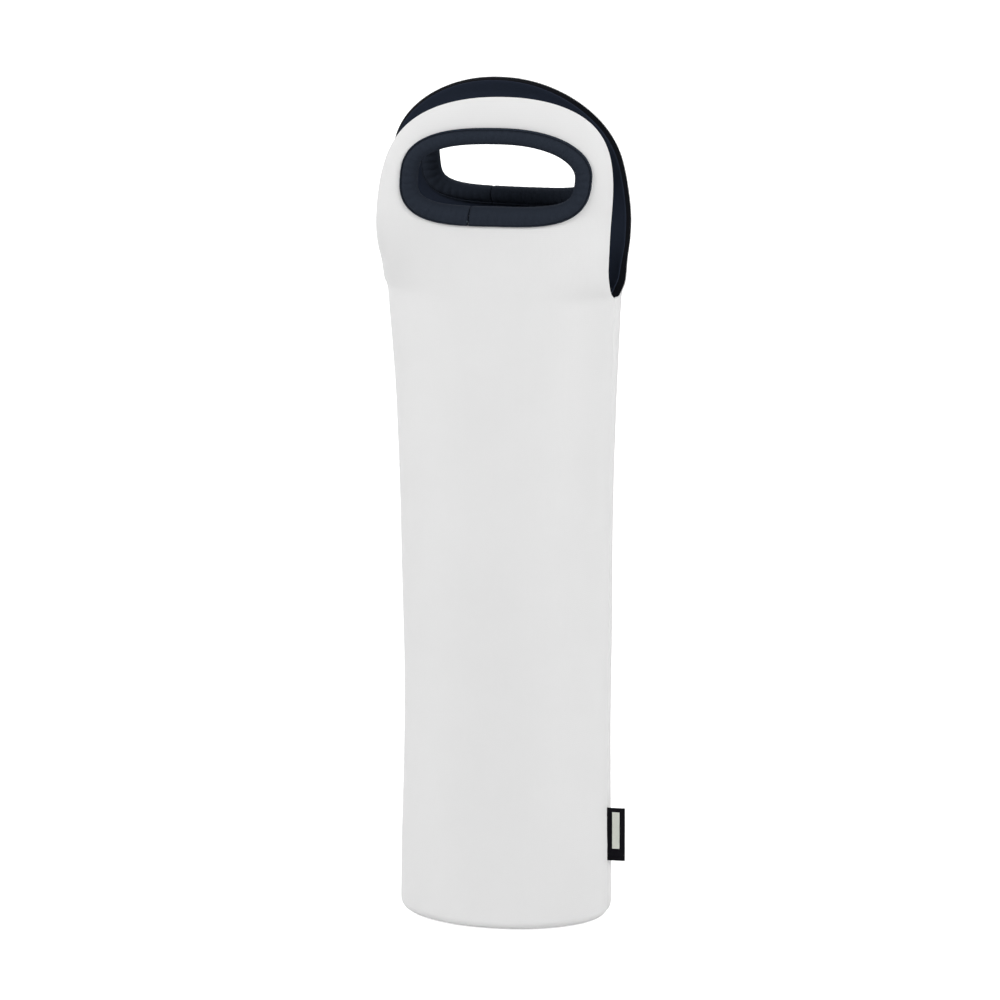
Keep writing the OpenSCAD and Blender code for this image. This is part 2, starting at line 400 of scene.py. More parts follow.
    def lean(self, point: Vector, side: Side) -> Vector:
        """Turn a flap a little in its own plane, as the two hang in use.

        Args:
            point: A point of the front half, in millimetres.
            side: The panel that the point belongs to.

        Returns:
            The point on the leaning flap.
        """
        hang = HANGS[side]
        rise = smooth_step((point.z - self.slit_h - self.slit_open) / (0.4 * self.flap_h))
        up = point.z - self.hole_z
        above = max(0.0, up / self.hole_drop)
        wider = hang.spread + hang.taper * up / (self.flap_h / 2) + hang.peak * above**2
        return point + rise * Vector((
            wider * point.x + hang.push + math.radians(hang.slant) * up,
            math.radians(hang.twist) * point.x,
            hang.lift - math.radians(hang.roll) * point.x,
        ))

    def skin(self, share: float, height: float, side: Side) -> Vector:
        """A point of the outer face above the roll, before the seams draw it in.

        Args:
            share: Angle share across the panel.
            height: Height up the panel.
            side: The panel that the point belongs to.

        Returns:
            The point, as on the front.
        """
        half_w, half_d = self.oval(height)
        across = math.sin(abs(share) * QUARTER) ** (2.0 / self.section_power)
        out = max(0.0, math.cos(share * QUARTER)) ** (2.0 / self.section_power)
        x = math.copysign(half_w * across, share)
        y = -half_d * out
        if share > 0.0:
            slid = y - self.drift(y, height) * side.facing.y
            x += self.half_at(slid, height) - self.half_at(y, height)
            y = slid
        point = Vector((x + self.sway(height), y, height))
        inward = self.wave(share, height, side) + self.foot_round(share, height)
        if height > self.slit_h:
            inward += self.curl(x, height)
        power = self.section_power - 1.0
        normal = Vector((math.copysign(across**power / half_w, share), -(out**power) / half_d, 0.0))
        return self.lean(point - inward * normal.normalized(), side)

    @lru_cache(maxsize=None)
    def skin_and_normal(self, share: float, height: float, side: Side) -> tuple[Vector, Vector]:
        """The outer face and the way out of it.

        Args:
            share: Angle share of the place.
            height: Height of the place, above the roll.
            side: The panel that it belongs to.

        Returns:
            The point, in millimetres, and the unit normal that points out.
        """
        step, rise = 0.004, 0.25
        left, right = max(-1.0, share - step), min(1.0, share + step)
        low, high = max(self.foot_roll, height - rise), height + rise
        across = self.skin(right, height, side) - self.skin(left, height, side)
        up = self.skin(share, high, side) - self.skin(share, low, side)
        return self.skin(share, height, side), across.cross(up).normalized()

    def place(self, share: float, height: float, depth: float, side: Side) -> Vector:
        """Form a point of the flat laminate.

        Args:
            share: Angle share across the panel.
            height: Height up the panel, running on under the roll.
            depth: How far in from the outer face the point lies.
            side: The panel that it belongs to.

        Returns:
            The point in metres.
        """
        above = max(height, self.foot_roll)
        point, normal = self.skin_and_normal(share, above, side)
        depth += self.seam_draw(point, above, side)
        if height < self.foot_roll:
            turn = 1.0 - height / self.foot_roll
            near_end = max(0.0, 1.0 - (height - self.foot_end) / self.seam_lip)
            centre = point - self.foot_roll * normal
            arm = self.foot_roll - depth
            formed = centre + arm * (math.cos(turn) * normal - math.sin(turn) * UP)
            formed.z += self.foot_dip * near_end * near_end
        else:
            formed = point - depth * normal
        return formed * side.facing * MM

    def seam_draw(self, point: Vector, height: float, side: Side) -> float:
        """How far a side seam draws the laminate in, next to its line.

        Args:
            point: The point of the outer face, as on the front.
            height: Height up the panel.
            side: The panel that the point belongs to.

        Returns:
            The distance inwards.
        """
        seam_y = -self.drift(0.0, height) * side.facing.y if point.x > 0.0 else 0.0
        near = max(0.0, 1.0 - abs(point.y - seam_y) / self.seam_lip)
        fade = smooth_step((self.slit_h + self.slit_fade - height) / self.slit_fade)
        pucker = 1.0 + 0.18 * math.sin(height / 1.9) + 0.12 * math.sin(height / 5.3)
        return self.seam_dip * near * near * fade * pucker

    def on_flap(self, x: float, z: float, depth: float, side: Side) -> Vector:
        """Form a point of a flap that is given by its x and height, in metres."""
        return self.place(self.share_at(x, z), z, depth, side)

    @lru_cache(maxsize=None)
    def girth_table(self, z: float) -> tuple[float, ...]:
        """Lengths along the section from the middle of a panel, at even angle shares.

        Args:
            z: Height above the floor.

        Returns:
            The lengths, the first of them zero.
        """
        half_w, half_d = self.oval(z)
        power = 2.0 / self.section_power
        angles = [k / self.girth_steps * QUARTER for k in range(self.girth_steps + 1)]
        corners = [
            (half_w * math.sin(a) ** power, half_d * abs(math.cos(a)) ** power) for a in angles
        ]
        spans = (math.dist(*pair) for pair in zip(corners, corners[1:]))
        return tuple(accumulate(spans, initial=0.0))

    def girth(self, share: float, height: float) -> float:
        """Length along the section from the middle of a panel to a place on it.

        Args:
            share: Angle share across the panel.
            height: Height up the panel.

        Returns:
            The length, less than zero on the left.
        """
        table = self.girth_table(round(max(self.foot_roll, height)))
        step = abs(share) * self.girth_steps
        return math.copysign(float(np.interp(step, range(len(table)), table)), share)


def mapped_grid(
    mesh: BMesh,
    across: int,
    along: int,
    place: Callable[[int, int], Vector],
    cloth: Callable[[int, int], tuple[float, float]] | None = None,
) -> None:
    """Add a grid of quads and move each corner to its place.

    Args:
        mesh: The mesh to add to.
        across: Quads in the first direction.
        along: Quads in the second direction.
        place: Gives the place of a corner from its two counts.
        cloth: Gives a corner's place on the flat cloth, in millimetres.
    """
    layer = mesh.loops.layers.uv.get(CLOTH_UV) or mesh.loops.layers.uv.new(CLOTH_UV)
    made = bmesh.ops.create_grid(mesh, x_segments=across, y_segments=along, size=1.0)
    counts = {
        vert: (round((vert.co.x + 1.0) / 2.0 * across), round((vert.co.y + 1.0) / 2.0 * along))
        for vert in made["verts"]
    }
    if cloth:
        for loop in (loop for vert in counts for loop in vert.link_loops):
            loop[layer].uv = cloth(*counts[loop.vert])
    for vert, count in counts.items():
        vert.co = place(*count)


def weld(mesh: BMesh, distance: float) -> None:
    """Merge corners that share a place, and turn all faces outwards."""
    bmesh.ops.remove_doubles(mesh, verts=mesh.verts[:], dist=distance)
    bmesh.ops.recalc_face_normals(mesh, faces=mesh.faces[:])


def round_rim(mesh: BMesh, radius: float) -> None:
    """Turn the faces of a closed wall outwards and round its cut edges, by a radius in mm.

    Args:
        mesh: The closed wall, in metres.
        radius: Width of the rounding, in millimetres.
    """
    bmesh.ops.recalc_face_normals(mesh, faces=mesh.faces[:])
    rim = [edge for edge in mesh.edges if edge.calc_face_angle(0.0) > RIM_ANGLE]
    bmesh.ops.bevel(
        mesh, geom=rim, offset=radius * MM, affect="EDGES", segments=2, profile=0.5, material=-1
    )


def close_ends(mesh: BMesh, distance: float) -> None:
    """Weld a swept strip into a tube and close both its ends.

    Args:
        mesh: The swept strip.
        distance: How far apart corners that merge may lie.
    """
    weld(mesh, distance)
    bmesh.ops.holes_fill(mesh, edges=[e for e in mesh.edges if e.is_boundary], sides=0)
    bmesh.ops.recalc_face_normals(mesh, faces=mesh.faces[:])


def finished(name: str, mesh: BMesh, material: Material) -> Object:
    """Turn a bmesh into a smooth shaded object.

    Args:
        name: Name of the piece.
        mesh: Its bmesh, in metres, which is freed.
        material: Its material.

    Returns:
        The object, linked to the scene.
    """
    data = bpy.data.meshes.new(name)
    for face in mesh.faces:
        face.smooth = True
    mesh.to_mesh(data)
    mesh.free()
    data.materials.append(material)
    data.set_sharp_from_angle(angle=math.radians(40))
    piece = bpy.data.objects.new(name, data)
    bpy.context.scene.collection.objects.link(piece)
    log.info("%s: %d faces", name, len(data.polygons))
    return piece


def linear(hex_colour: str) -> tuple[float, float, float, float]:
    """Turn an sRGB hex colour into a linear one with alpha."""
    channels = [int(hex_colour[k : k + 2], 16) / 255 for k in (1, 3, 5)]
    return (*[c / 12.92 if c <= 0.04045 else ((c + 0.055) / 1.055) ** 2.4 for c in channels], 1.0)


def feed(tree: NodeTree, node: Node, inputs: dict | tuple) -> Node:
    """Set or link the inputs of a node.

    Args:
        tree: The node tree that holds it.
        node: The node to feed.
        inputs: Values, output sockets or nodes whose first output counts, by input name or
            number, or in the inputs' own order.

    Returns:
        The same node.
    """
    pairs = inputs.items() if isinstance(inputs, dict) else enumerate(inputs)
    for key, value in pairs:
        source = value.outputs[0] if isinstance(value, Node) else value
        if isinstance(source, NodeSocket):
            tree.links.new(source, node.inputs[key])
        else:
            node.inputs[key].default_value = source
    return node


def add_node(tree: NodeTree, kind: str, inputs: dict | tuple = (), **settings: object) -> Node:
    """Add a shader node with its settings, and feed its inputs.

    Args:
        tree: The node tree to add to.
        kind: Blender's name for the node's type, without its first two words.
        inputs: What feed takes.
        **settings: Properties of the node.

    Returns:
        The new node.
    """
    node = tree.nodes.new(f"ShaderNode{kind}")
    for name, value in settings.items():
        setattr(node, name, value)
    return feed(tree, node, inputs)


@dataclass(frozen=True)
class Finish:
    """What all finishes share: two tones that a pattern mixes, a relief, sheen and gloss."""

    name: str
    colour: str
    shade: str
    roughness: float = 0.7
    gloss: float = 0.02
    sheen: float = 0.0
    relief: float = 0.05
    relief_strength: float = 0.7

    def pattern(self, tree: NodeTree) -> tuple[Node, Node]:
        """The pattern of a finish: how much of the colour shows, and the relief's height."""
        raise NotImplementedError

    def tone(self, tree: NodeTree, share: Node) -> NodeSocket:
        """Mix the two tones by the pattern."""
        ends = {0: share, 6: linear(self.shade), 7: linear(self.colour)}
        return add_node(tree, "Mix", ends, data_type="RGBA").outputs[2]

    def build(self) -> Material:
        """Make the material.

        Returns:
            A material with the finish's tones, relief, roughness, sheen and gloss.
        """
        material = bpy.data.materials.new(self.name)
        material.use_nodes = True
        tree = material.node_tree
        share, height = self.pattern(tree)
        depth = {"Height": height, "Distance": self.relief * MM, "Strength": self.relief_strength}
        feed(tree, tree.nodes["Principled BSDF"], {
            "Base Color": self.tone(tree, share),
            "Normal": add_node(tree, "Bump", depth),
            "Roughness": self.roughness,
            "Sheen Weight": self.sheen,
            "Sheen Roughness": 0.5,
            "Specular IOR Level": self.gloss,
        })
        return material


@dataclass(frozen=True)
class KnitJersey(Finish):
    """Nylon jersey, warp knitted and bonded to foam: fine columns of loops, quite matt."""

    roughness: float = 0.82
    gloss: float = 0.3
    sheen: float = 0.12
    relief: float = 0.045
    relief_strength: float = 1.0
    # Real jersey has columns of loops about 0.5 mm apart, too fine to show, so they are drawn wider
    wale: float = 1.05
    course: float = 0.9
    mottle: float = 28.0
    fuzz_per_mm: float = 2.4

    def pattern(self, tree: NodeTree) -> tuple[Node, Node]:
        """Columns of slanting loops on the cloth's own UV map, with slow patches and fuzz.

        Args:
            tree: The material's node tree.

        Returns:
            The share of the colour over the shade, and the height of the relief.
        """
        cloth = add_node(tree, "UVMap", uv_map=CLOTH_UV)
        split = add_node(tree, "SeparateXYZ", (cloth,))
        column = add_node(tree, "Math", (split.outputs[0], 1.0 / self.wale), operation="MULTIPLY")
        aside = add_node(tree, "Math", (column, 0.5), operation="PINGPONG")
        course = add_node(tree, "Math", (split.outputs[1], 1.0 / self.course), operation="MULTIPLY")
        slant = add_node(tree, "Math", (course, aside), operation="ADD")
        loop = add_node(tree, "Math", (slant, 0.5), operation="PINGPONG")
        turn = add_node(tree, "Math", (aside, 2 * math.pi), operation="MULTIPLY")
        legs = add_node(tree, "Math", (turn,), operation="SINE")
        raised = add_node(tree, "Math", (loop, 0.25), operation="ADD")
        height = add_node(tree, "Math", (raised, legs), operation="MULTIPLY")
        slow = {"Vector": cloth, "Scale": 1.0 / self.mottle, "Detail": 3.0}
        fine = {"Vector": cloth, "Scale": self.fuzz_per_mm, "Detail": 2.0}
        slow_share, fuzz = add_node(tree, "TexNoise", slow), add_node(tree, "TexNoise", fine)
        patches = add_node(tree, "Math", (slow_share, 0.45), operation="MULTIPLY")
        lit = add_node(tree, "Math", (height, 0.55, patches), operation="MULTIPLY_ADD")
        return lit, add_node(tree, "Math", (fuzz, 0.5, height), operation="MULTIPLY_ADD")


@dataclass(frozen=True)
class NeopreneFoam(Finish):
    """Black chloroprene foam with a die cut edge: closed pores, matt, a little brown."""

    name: str = "neoprene_foam"
    colour: str = "#0f1116"
    shade: str = "#0a0a0c"
    roughness: float = 0.78
    relief: float = 0.1
    relief_strength: float = 0.8
    # Pores are about 0.2 mm across and drawn twice as wide
    pore: float = 0.4
    grain_per_m: float = 260.0

    def pattern(self, tree: NodeTree) -> tuple[Node, Node]:
        """Round pores and a fine grain, on object coordinates.

        Args:
            tree: The material's node tree.

        Returns:
            The share of the colour over the shade, and the height of the relief.
        """
        place = add_node(tree, "TexCoord").outputs["Object"]
        cells = {"Vector": place, "Scale": 1.0 / (self.pore * MM)}
        grains = {"Vector": place, "Scale": self.grain_per_m, "Detail": 4.0}
        pores = add_node(tree, "TexVoronoi", cells)
        both = add_node(tree, "Math", (pores, add_node(tree, "TexNoise", grains)), operation="ADD")
        return add_node(tree, "Math", (both, 0.6), operation="MULTIPLY"), pores


@dataclass(frozen=True)
class SpunThread(Finish):
    """Bonded polyester sewing thread: two plies twisted together, with a dull gloss."""

    roughness: float = 0.5
    gloss: float = 0.1
    # The twist of such thread repeats about every 0.7 mm
    twist: float = 0.7

    def pattern(self, tree: NodeTree) -> tuple[Node, Node]:
        """Slanting plies, on object coordinates.

        Args:
            tree: The material's node tree.

        Returns:
            The share of the colour over the shade, and the height of the relief.
        """
        place = add_node(tree, "TexCoord").outputs["Object"]
        bands = {"Vector": place, "Scale": 1.0 / (self.twist * MM * 20), "Distortion": 0.4}
        plies = add_node(tree, "TexWave", bands, bands_direction="DIAGONAL").outputs["Fac"]
        return plies, plies


@dataclass(frozen=True)
class WovenRibbon(Finish):
    """Damask woven polyester label ribbon: black ground, and a plain pale field on each face."""

    name: str = "woven_ribbon"
    colour: str = "#16151a"
    shade: str = "#0c0c10"
    gloss: float = 0.04
    field_colour: str = "#edf0e6"
    field_shade: str = "#ccd1c7"
    # Label yarns lie about 0.2 mm apart and are drawn twice as far
    yarn: float = 0.4
    field_near: float = 2.1
    field_far: float = 5.4
    field_low: float = 5.6
    field_high: float = 22.6

    def pattern(self, tree: NodeTree) -> tuple[Node, Node]:
        """A plain weave on the label's UV map: millimetres from the fold, and up.

        Args:
            tree: The material's node tree.

        Returns:
            The share of the colour over the shade, and the height of the relief.
        """
        split = add_node(tree, "SeparateXYZ", (add_node(tree, "UVMap", uv_map=CLOTH_UV),))
        yarns = []
        for run in split.outputs[:2]:
            turn = add_node(tree, "Math", (run, 2 * math.pi / self.yarn), operation="MULTIPLY")
            yarns.append(add_node(tree, "Math", (turn,), operation="SINE"))
        crossed = add_node(tree, "Math", tuple(yarns), operation="MULTIPLY")
        weave = add_node(tree, "Math", (crossed, 0.5, 0.5), operation="MULTIPLY_ADD")
        return weave, weave

    def tone(self, tree: NodeTree, share: Node) -> NodeSocket:
        """Mix the ground's two tones, and those of the pale field inside its bounds.

        Args:
            tree: The material's node tree.
            share: How much of each colour shows over its shade.

        Returns:
            The mixed colour.
        """
        split = add_node(tree, "SeparateXYZ", (add_node(tree, "UVMap", uv_map=CLOTH_UV),))
        out = add_node(tree, "Math", (split.outputs[0],), operation="ABSOLUTE")
        bounds = [
            (out, "GREATER_THAN", self.field_near),
            (out, "LESS_THAN", self.field_far),
            (split.outputs[1], "GREATER_THAN", self.field_low),
            (split.outputs[1], "LESS_THAN", self.field_high),
        ]
        inside = 1.0
        for run, test, bound in bounds:
            within = add_node(tree, "Math", (run, bound), operation=test)
            inside = add_node(tree, "Math", (within, inside), operation="MULTIPLY")
        pale = {0: share, 6: linear(self.field_shade), 7: linear(self.field_colour)}
        field = add_node(tree, "Mix", pale, data_type="RGBA").outputs[2]
        ends = {0: inside, 6: super().tone(tree, share), 7: field}
        return add_node(tree, "Mix", ends, data_type="RGBA").outputs[2]


@dataclass(frozen=True)
class Finishes:
    """Every finish of the carrier, built once."""

    cover: Material
    lining: Material
    foam: Material
    hole_strip: Material
    seam_tape: Material
    dark_thread: Material
    tack_thread: Material
    ribbon: Material

    @classmethod
    def build(cls) -> "Finishes":
        """Make all the materials.

        Returns:
            The finishes.
        """
        matt = {"gloss": 0.02}
        dark = {"sheen": 0.0, **matt}
        return cls(
            cover=KnitJersey("cover_jersey", "#e9e9e9", "#e2e2e2").build(),
            lining=KnitJersey("lining_jersey", "#2f3644", "#252b37", **dark).build(),
            foam=NeopreneFoam().build(),
            hole_strip=KnitJersey("hole_strip_jersey", "#2e343e", "#252a33", **dark).build(),
            seam_tape=KnitJersey(
                "seam_tape_jersey", "#20252f", "#191d27", wale=0.8, **matt,
            ).build(),
            dark_thread=SpunThread("dark_thread", "#1b212e", "#131822").build(),
            tack_thread=SpunThread("tack_thread", "#55656b", "#424f54").build(),
            ribbon=WovenRibbon().build(),
        )


@dataclass(frozen=True)
class Layer:
    """One layer of the laminate: its name, how deep it starts and ends, and its slot."""

    name: str
    outer: float
    inner: float
    slot: str
    edge: float


@dataclass
class HandHole:
    """The outline of a hand hole, cut through a flap."""

    form: SleeveForm
    aside: float = 0.0
    drop: float = 0.0
    sag: float = 0.0
    clear_w: float = 70.6
    clear_h: float = 28.8
    bead_w: float = 2.6
    top_power: float = 2.7
    top_right_power: float = 2.2
    foot_power: float = 3.3
    butt_x: float = -12.0

    @property
    def half_w(self) -> float:
        """Half the width of the cut hole."""
        return self.clear_w / 2 + self.bead_w

    @property
    def half_h(self) -> float:
        """Half the height of the cut hole."""
        return self.clear_h / 2 + self.bead_w

    def edge(self, turn: float) -> tuple[Vector, Vector]:
        """The cut edge at a turn from the right, and the way out of the hole there.

        Args:
            turn: Angle in radians.

        Returns:
            A point and a unit vector, both with x across and y up from the hole's middle.
        """
        across, up = math.cos(turn), math.sin(turn)
        top_power = self.top_power if across < 0 else self.top_right_power
        power = top_power if up > 0 else self.foot_power
        x = math.copysign(abs(across) ** (2 / power), across)
        y = math.copysign(abs(up) ** (2 / power), up)
        out = Vector((
            math.copysign(abs(x) ** (power - 1) / self.half_w, x),
            math.copysign(abs(y) ** (power - 1) / self.half_h, y),
        ))
        down = self.drop + self.sag * max(0.0, x) ** 2
        place = Vector((self.half_w * x + self.aside, self.half_h * y - down))
        return place, out.normalized()

    @property
    def butt_turn(self) -> float:
        """The turn at which the binding's ends meet, on the foot of the hole."""
        ratio = abs(self.butt_x) / self.half_w
        return math.pi + math.acos(ratio ** (self.foot_power / 2))

    def turns(self, offset: float, count: int = 720) -> tuple[list[float], list[float]]:
        """Turns once round the hole from the butt joint, with the length run so far.

        Args:
            offset: How far out of the cut edge the length is measured.
            count: Steps round the hole.

        Returns:
            The turns and the lengths, of the same count.
        """
        turns = [self.butt_turn + 2 * math.pi * k / count for k in range(count + 1)]
        places = [self.edge(t)[0] + offset * self.edge(t)[1] for t in turns]
        lengths = [0.0]
        for k in range(count):
            lengths.append(lengths[-1] + (places[k + 1] - places[k]).length)
        return turns, lengths

    def on_flap(self, turn: float, out: float, depth: float, side: Side) -> Vector:
        """A point near the hole's edge, from the turn, the distance out and the depth.

        Args:
            turn: Angle round the hole, in radians.
            out: Distance out from the cut edge.
            depth: How far in from the outer face the point lies.
            side: The panel that the point belongs to.

        Returns:
            The point, in metres.
        """
        edge, way = self.edge(turn)
        place = edge + out * way
        return self.form.on_flap(place.x, self.form.hole_z + place.y, depth, side)


@dataclass
class LaminatePanel:
    """A front or back panel, from the base seam to the top of its flap, in three layers."""

    form: SleeveForm
    hole: HandHole
    side: Side
    columns: int = 60
    arch_columns: int = 104
    hole_rings: int = 12
    row: float = 2.6
    fine_row: float = 0.8
    fine_reach: float = 6.0
    tip_row: float = 0.3
    tip_reach: float = 1.5
    roll_row: float = 0.7
    foot_span: float = math.radians(124)
    blend_over: float = 16.0

    def column_share(self, column: int) -> float:
        """Share across the panel, with the columns crowded towards both side seams."""
        even = 2.0 * column / self.columns - 1.0
        return mix(even, math.sin(QUARTER * even), 0.8)

    def rows(self) -> list[float]:
        """Heights of the rows from the base seam to where the flap starts.

        Returns:
            The heights, the lowest first.
        """
        form = self.form
        stops = [
            (form.foot_end, self.roll_row),
            (form.foot_roll, self.row),
            (form.slit_h - self.fine_reach, self.fine_row),
            (form.slit_h, self.tip_row),
            (form.slit_h + self.tip_reach, self.fine_row),
            (form.slit_h + self.fine_reach, self.row),
            (form.bend_top, self.row),
        ]
        heights = []
        for (low, pitch), (high, _) in zip(stops, stops[1:]):
            count = max(1, round((high - low) / pitch))
            heights += [mix(low, high, k / count) for k in range(count)]
        return heights + [form.bend_top]

    def wall_place(self, column: int, height: float) -> Vector:
        """Angle share and height of a corner of the wall, or of the band above the slit.

        Args:
            column: Count of the column, from the left.
            height: Height up the panel.

        Returns:
            The share, the height and zero.
        """
        form = self.form
        rim = 1.0 if height <= form.slit_h else form.share_at(form.outline_x(height), height)
        return Vector((self.column_share(column) * rim, height, 0.0))

    def ring_place(self, step: int, ring: int) -> Vector:
        """Angle share and height of a corner of the flap, between its hole and its outline.

        Args:
            step: Count round the hole, from the left end of the bend.
            ring: Count from the hole's edge to the outline.

        Returns:
            The share, the height and zero.
        """
        form = self.form
        total = self.columns + self.arch_columns
        step %= total
        if step <= self.columns:
            share = self.wall_place(step, form.bend_top).x
            outer = Vector((form.x_at(share, form.bend_top), form.bend_top - form.hole_z))
            turn = -QUARTER + self.foot_span * (step / self.columns - 0.5)
        else:
            run = (step - self.columns) / self.arch_columns
            outer = self.arch(run)
            turn = -QUARTER + self.foot_span / 2 + (2 * math.pi - self.foot_span) * run
        edge, _ = self.hole.edge(turn)
        place = edge.lerp(outer, ring / self.hole_rings)
        z = form.hole_z + place.y
        if ring == self.hole_rings and step <= self.columns:
            return self.wall_place(step, form.bend_top)
        return Vector((form.share_at(place.x, z), z, 0.0))

    def arch(self, run: float) -> Vector:
        """A place on the flap's outline, from its right foot over the top to its left.

        Args:
            run: Share of the way, from 0 to 1.

        Returns:
            The place, with x across and y up from the hole's middle.
        """
        form = self.form
        foot = (form.bend_top - form.slit_h) / form.flap_h
        angle = math.acos(foot) * (1.0 - 2.0 * run)
        z = form.slit_h + form.flap_h * math.cos(angle)
        return Vector((math.copysign(form.outline_x(z), angle), z - form.hole_z))

    def flat(self) -> BMesh:
        """Cut the panel flat, as a sheet of angle share against height.

        Returns:
            The sheet, with its hand hole.
        """
        sheet = bmesh.new()
        rows = self.rows()
        mapped_grid(sheet, self.columns, len(rows) - 1, lambda i, j: self.wall_place(i, rows[j]))
        ring_steps = self.columns + self.arch_columns
        mapped_grid(sheet, ring_steps, self.hole_rings, self.ring_place)
        weld(sheet, 1e-3)
        for face in sheet.faces:
            if face.normal.z < 0:
                face.normal_flip()
        return sheet

    def build(self, layer: Layer, material: Material) -> Object:
        """Form one layer of the panel.

        Args:
            layer: The layer to form.
            material: Its material.

        Returns:
            The piece, with its transform baked into its mesh.
        """
        sheet = self.flat()
        bmesh.ops.solidify(sheet, geom=sheet.faces[:], thickness=layer.inner - layer.outer)
        depths = [vert.co.z for vert in sheet.verts]
        middle = (min(depths) + max(depths)) / 2
        cloth = sheet.loops.layers.uv[CLOTH_UV]
        for face in sheet.faces:
            for loop in face.loops:
                share, height, _ = loop.vert.co
                loop[cloth].uv = (self.form.girth(share, height), height)
        for vert in sheet.verts:
            share, height, level = vert.co
            depth = layer.outer if level < middle else layer.inner
            vert.co = self.form.place(share, height, depth, self.side)
        round_rim(sheet, layer.edge)
        name = f"{self.side.value}_{layer.name}"
        piece = finished(f"{name}_layer", sheet, material)
        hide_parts(name, f"{self.side.value}_bend_{layer.name}",
                    f"{self.side.value}_flap_{layer.name}")
        self.side.flap
        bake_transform(piece)
        return piece


@dataclass
class BasePanel:
    """The oval base in three layers, with its edge drawn up into the base seam."""

    form: SleeveForm
    cells: int = 40
    crown: float = 0.5
    crown_reach: float = 20.0

    def outline(self, angle: float) -> Vector:
        """The base's edge at an angle from the front, under the end of the walls' roll.

        Args:
            angle: Angle in radians, positive to the right.

        Returns:
            The place, seen from above.
        """
        form = self.form
        side = Side.FRONT if abs(angle) <= QUARTER else Side.BACK
        folded = angle if side is Side.FRONT else math.copysign(math.pi - abs(angle), angle)
        share = folded / QUARTER
        point, normal = form.skin_and_normal(share, form.foot_roll, side)
        centre = (point - form.foot_roll * normal) * side.facing
        return Vector((centre.x, centre.y))

    def disc(self, column: int, row: int) -> tuple[float, float]:
        """Radius share and angle of a corner, from a square grid drawn round.

        Args:
            column: Count across the square grid.
            row: Count up the square grid.

        Returns:
            The share, from 0 to 1, and the angle from the front.
        """
        u = 2.0 * column / self.cells - 1.0
        v = 2.0 * row / self.cells - 1.0
        x = u * math.sqrt(1.0 - v * v / 2.0)
        y = v * math.sqrt(1.0 - u * u / 2.0)
        return min(1.0, math.hypot(x, y)), math.atan2(x, -y)

    def build(self, layer: Layer, material: Material) -> Object:
        """Form one layer of the base.

        Args:
            layer: The layer, whose depths are heights here.
            material: Its material.

        Returns:
            The piece, which rides on the sleeve.
        """
        plate = bmesh.new()

        def place(column: int, row: int) -> Vector:
            """Place of a corner of the layer's lower face, in millimetres.

            Args:
                column: Count across the grid.
                row: Count up the grid.

            Returns:
                The place.
            """
            radius, angle = self.disc(column, row)
            edge = self.outline(angle)
            return Vector((radius * edge.x, radius * edge.y, 0.0))

        mapped_grid(plate, self.cells, self.cells, place)
        weld(plate, 1e-4)
        bmesh.ops.solidify(plate, geom=plate.faces[:], thickness=layer.inner - layer.outer)
        levels = [vert.co.z for vert in plate.verts]
        middle = (min(levels) + max(levels)) / 2
        cloth = plate.loops.layers.uv[CLOTH_UV]
        for face in plate.faces:
            for loop in face.loops:
                loop[cloth].uv = loop.vert.co.xy
        for vert in plate.verts:
            level = layer.outer if vert.co.z < middle else layer.inner
            angle = math.atan2(vert.co.x, -vert.co.y)
            gap = self.outline(angle).length - vert.co.xy.length
            near = max(0.0, 1.0 - gap / self.form.seam_lip)
            rise = self.crown * smooth_step(gap / self.crown_reach)
            rise += self.form.foot_dip * near * near
            vert.co = Vector((vert.co.x, vert.co.y, level + rise)) * MM
        round_rim(plate, layer.edge)
        piece = finished(f"base_{layer.name}_layer", plate, material)
        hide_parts(f"base_{layer.name}")
        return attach(piece, "sleeve")


